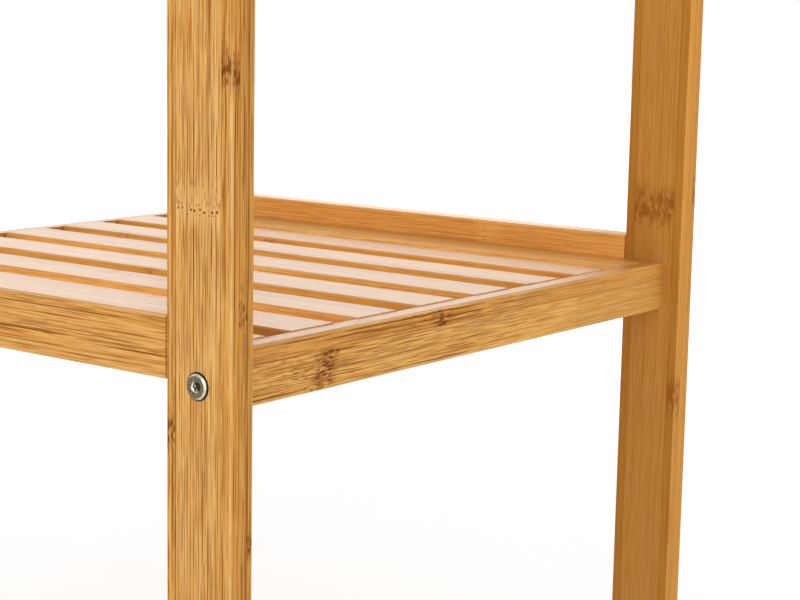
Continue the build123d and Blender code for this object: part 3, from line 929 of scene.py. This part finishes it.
def beech_dowels():
    """Bare beech with fine flecks along the dowels."""
    material, tree, shader = new_material("beech_dowel")
    place = own_place(tree, ORIGIN, "Y", "X")
    flecks = cloud(tree, place, FLECK_CELL, detail=3.0, roughness=0.6)
    colour = blend(tree, rise(tree, flecks, *FLECK_CLOUD), BEECH_DARK, BEECH_PALE)
    feed(tree, shader.inputs["Base Color"], colour)
    feed(tree, shader.inputs["Roughness"], span(tree, flecks, *BEECH_ROUGHNESS))
    cover("frame_dowels_left", material)
    cover("frame_dowels_right", material)


NYLON_CLEAN = paint(206, 196, 176)
NYLON_SCUFFED = paint(178, 166, 144)
SPARK_CELL = (0.22, 0.22, 0.22)
SCUFF_CELL = (3.0, 3.0, 1.2)
SCUFF_CLOUD = (0.35, 0.70)
NYLON_ROUGHNESS = (0.40, 0.62)
NYLON_BUMP = {"strength": 0.35, "depth": 0.04}


def nylon_glides():
    """Moulded nylon with a spark-eroded grain and scuffs."""
    material, tree, shader = new_material("nylon_glide")
    place = own_place(tree, ORIGIN, "Z", "X")
    scuff = cloud(tree, place, SCUFF_CELL, detail=3.0, roughness=0.6)
    spark = cloud(tree, place, SPARK_CELL, detail=2.0, roughness=0.6)
    colour = blend(tree, rise(tree, scuff, *SCUFF_CLOUD), NYLON_CLEAN, NYLON_SCUFFED)
    feed(tree, shader.inputs["Base Color"], colour)
    feed(tree, shader.inputs["Roughness"], span(tree, scuff, *NYLON_ROUGHNESS))
    raised(tree, shader, spark, **NYLON_BUMP)
    cover("foot_glides", material)


beech_dowels()
nylon_glides()


# White studio. Sizes are in metres.

FLOOR_RADIUS = 8.0
FLOOR_SIDES = 96
FLOOR_GREY = 0.50
FLOOR_GLOW = 0.42
FLOOR_SEEN_GLOW = 0.65
FLOOR_WHITENS = (0.5, 1.6)  # distance from the rack over which the floor turns to plain white
WORLD_LIGHT = 0.52


def seen_share(tree):
    """1 for what the camera sees, straight or by a reflection, and 0 for light on its way to a surface."""
    path = put(tree, "LightPath")
    seen = maths(tree, "MAXIMUM", path.outputs["Is Camera Ray"], path.outputs["Is Glossy Ray"])
    return maths(tree, "MAXIMUM", seen, path.outputs["Is Transmission Ray"])


def white_paper():
    """Pale matt floor that keeps the rack's shadow, whitens further out and is clear from below."""
    material, tree, shader = new_material("studio_floor")
    tree.nodes.remove(shader)
    matt = put(tree, "BsdfDiffuse")
    matt.inputs["Color"].default_value = (FLOOR_GREY, FLOOR_GREY, FLOOR_GREY, 1.0)
    distance = put(tree, "VectorMath", operation="LENGTH")
    feed(tree, distance.inputs[0], put(tree, "TexCoord").outputs["Object"])
    far = rise(tree, distance.outputs["Value"], *FLOOR_WHITENS)
    seen_glow = span(tree, far, FLOOR_SEEN_GLOW, 1.0)
    glow = put(tree, "Emission")
    feed(tree, glow.inputs["Strength"], between(tree, seen_share(tree), FLOOR_GLOW, seen_glow))
    lit = put(tree, "AddShader")
    feed(tree, lit.inputs[0], matt.outputs[0])
    feed(tree, lit.inputs[1], glow.outputs[0])
    chosen = put(tree, "MixShader")
    feed(tree, chosen.inputs[0], put(tree, "NewGeometry").outputs["Backfacing"])
    feed(tree, chosen.inputs[1], lit.outputs[0])
    feed(tree, chosen.inputs[2], put(tree, "BsdfTransparent").outputs[0])
    feed(tree, tree.nodes["Material Output"].inputs["Surface"], chosen.outputs[0])
    return material


def white_floor():
    """A wide round floor under the rack."""
    mesh = bpy.data.meshes.new("studio_floor")
    shape = bmesh.new()
    bmesh.ops.create_circle(shape, cap_ends=True, segments=FLOOR_SIDES, radius=FLOOR_RADIUS)
    shape.to_mesh(mesh)
    shape.free()
    mesh.materials.append(white_paper())
    floor = bpy.data.objects.new("studio_floor", mesh)
    bpy.context.scene.collection.objects.link(floor)


def white_world():
    """White all round where it is seen, and a soft even light on the rack."""
    world = bpy.data.worlds.new("white_studio")
    bpy.context.scene.world = world
    world.use_nodes = True
    tree = world.node_tree
    background = tree.nodes["Background"]
    background.inputs["Color"].default_value = (1.0, 1.0, 1.0, 1.0)
    feed(tree, background.inputs["Strength"], span(tree, seen_share(tree), WORLD_LIGHT, 1.0))


LAMPS_AIM = Vector((0.0, 0.0, 0.30))


def softbox(name, place, side, watts):
    """A square lamp that looks at the shelf."""
    lamp = bpy.data.lights.new(name, "AREA")
    lamp.shape = "SQUARE"
    lamp.size = side
    lamp.energy = watts
    holder = bpy.data.objects.new(name, lamp)
    holder.location = place
    holder.rotation_euler = (LAMPS_AIM - Vector(place)).to_track_quat("-Z", "Y").to_euler()
    bpy.context.scene.collection.objects.link(holder)


white_floor()
white_world()
softbox("key_left", place=(-2.2, -1.0, 1.1), side=2.0, watts=21.0)
softbox("fill_front", place=(0.8, -2.2, 1.0), side=1.5, watts=9.0)
softbox("back_corner", place=(1.7, 1.6, 1.2), side=1.5, watts=7.5)
softbox("back_right", place=(2.2, -0.5, 1.2), side=1.5, watts=4.0)
softbox("back_left", place=(-0.5, 2.2, 1.2), side=1.5, watts=4.0)


# Camera, where the photograph was taken from

CAMERA_PLACE = (-0.7767, -0.7234, 0.4199)
CAMERA_HEADING = math.radians(-52.94)
CAMERA_PITCH = math.radians(-9.16)
CAMERA_ROLL = math.radians(1.09)
LENS_MM = 85.1
SENSOR_MM = 36.0


def photo_camera():
    """The camera at the photograph's viewing angle."""
    lens = bpy.data.cameras.new("photo_camera")
    lens.sensor_fit = "HORIZONTAL"
    lens.sensor_width = SENSOR_MM
    lens.lens = LENS_MM
    camera = bpy.data.objects.new("photo_camera", lens)
    turn = Matrix.Rotation(CAMERA_HEADING, 4, "Z")
    tilt = Matrix.Rotation(math.pi / 2 + CAMERA_PITCH, 4, "X")
    roll = Matrix.Rotation(CAMERA_ROLL, 4, "Z")
    camera.matrix_world = Matrix.Translation(CAMERA_PLACE) @ turn @ tilt @ roll
    bpy.context.scene.collection.objects.link(camera)
    bpy.context.scene.camera = camera


photo_camera()
bpy.context.scene.view_settings.view_transform = "Standard"
